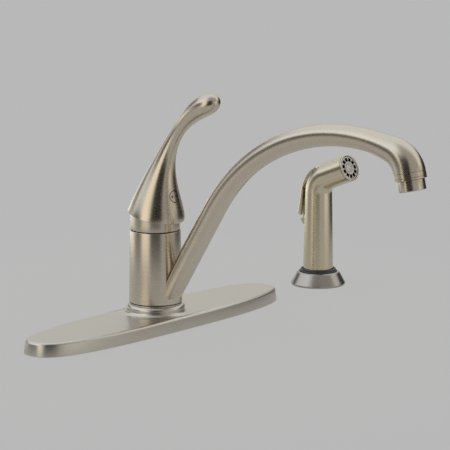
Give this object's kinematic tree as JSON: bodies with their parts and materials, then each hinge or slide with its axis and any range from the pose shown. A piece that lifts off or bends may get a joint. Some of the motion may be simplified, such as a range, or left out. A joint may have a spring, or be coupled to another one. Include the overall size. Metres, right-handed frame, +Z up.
{
  "type": "side spray kitchen faucet",
  "caption": "Deck-mounted single-lever kitchen faucet with a low-arc swinging spout, an oval deck plate and a separate hand spray in its own deck holder.",
  "frame": {"origin": "on the deck, at the centre of the valve body's underside, on the turning axis of the spout", "axes": "+Z up, +X along the deck plate towards the side spray, -Y towards the user, where the spout, lever and nozzle point"},
  "size_m": [0.3645, 0.2856, 0.1873],
  "materials": {
    "brushed_nickel": "satin brushed nickel, warm",
    "brushed_plate": "satin brushed nickel",
    "brass": "cast and turned brass",
    "steel": "bright stainless steel",
    "black_rubber": "moulded black rubber",
    "black_plastic": "black moulded plastic",
    "white_plastic": "white acetal",
    "grey_plastic": "grey glass-filled nylon",
    "pale_plastic": "pale grey satin plastic",
    "ceramic": "lapped white alumina",
    "hot_mark": "red enamel",
    "cold_mark": "dark blue enamel"
  },
  "bodies": {
    "base": {"deck_plate": "brushed_plate", "plate_gasket": "black_rubber", "valve_body": "brass", "diverter_valve": "white_plastic", "spout_seal_lower": "black_rubber", "spout_seal_upper": "black_rubber", "glide_ring_lower": "black_plastic", "glide_ring_upper": "black_plastic", "cartridge_base": "white_plastic", "cartridge_seal_hot": "black_rubber", "cartridge_seal_cold": "black_rubber", "cartridge_seal_outlet": "black_rubber", "cartridge_housing": "white_plastic", "fixed_ceramic_disc": "ceramic", "bonnet_nut": "brass", "bonnet_cap": "brushed_nickel", "spray_holder": "brushed_nickel", "spray_guide_ring": "black_plastic", "spray_holder_gasket": "black_rubber"},
    "spout_assembly": {"spout": "brushed_nickel", "aerator_housing": "brushed_nickel", "aerator_washer": "black_rubber", "aerator_insert": "grey_plastic"},
    "guide_assembly": {"lever_guide": "grey_plastic", "lever_pin": "steel"},
    "lever_assembly": {"lever_spindle": "brass", "lever_handle": "brushed_nickel", "handle_set_screw": "steel", "temperature_button": "brushed_nickel", "hot_dot": "hot_mark", "cold_dot": "cold_mark"},
    "mixing_disc": {"moving_ceramic_disc": "ceramic", "disc_carrier": "grey_plastic"},
    "wand_assembly": {"spray_wand": "brushed_nickel", "spray_bezel": "brushed_nickel", "spray_face": "pale_plastic", "spray_face_button": "pale_plastic", "spray_hose_nipple": "brass", "trigger_pin": "steel", "trigger_spring": "steel"},
    "trigger_lever": {"spray_trigger": "brushed_nickel"},
    "spray_valve": {"valve_plunger": "white_plastic"}
  },
  "joints": [
    {"name": "spout_swing", "type": "hinge", "parent": "base", "child": "spout_assembly", "pos_m": [0, 0, 0.05], "axis": [0, 0, 1], "range_deg": [-60, 60]},
    {"name": "lever_turn", "type": "hinge", "parent": "base", "child": "guide_assembly", "pos_m": [0, 0, 0.0876], "axis": [0, 0, 1], "range_deg": [-45, 45]},
    {"name": "lever_lift", "type": "hinge", "parent": "guide_assembly", "child": "lever_assembly", "pos_m": [0, 0, 0.0876], "axis": [-1, 0, 0], "range_deg": [0, 27]},
    {"name": "disc_slide", "type": "slide", "parent": "guide_assembly", "child": "mixing_disc", "axis": [0, -1, 0], "range_m": [0, 0.0058]},
    {"name": "wand_lift", "type": "slide", "parent": "base", "child": "wand_assembly", "axis": [0, 0, 1], "range_m": [0, 0.06]},
    {"name": "trigger_press", "type": "hinge", "parent": "wand_assembly", "child": "trigger_lever", "pos_m": [0.2032, -0.00064, 0.09606], "axis": [-1, 0, 0], "range_deg": [0, 4], "stiffness_Nm_per_rad": 0.8, "springref_deg": -6.88},
    {"name": "plunger_slide", "type": "slide", "parent": "wand_assembly", "child": "spray_valve", "axis": [0, -1, 0], "range_m": [0, 0.0019]}
  ],
  "couplings": [
    {"joint": "disc_slide", "follows": "lever_lift", "m_per_rad": 0.011888},
    {"joint": "plunger_slide", "follows": "trigger_press", "m_per_rad": 0.0241}
  ]
}
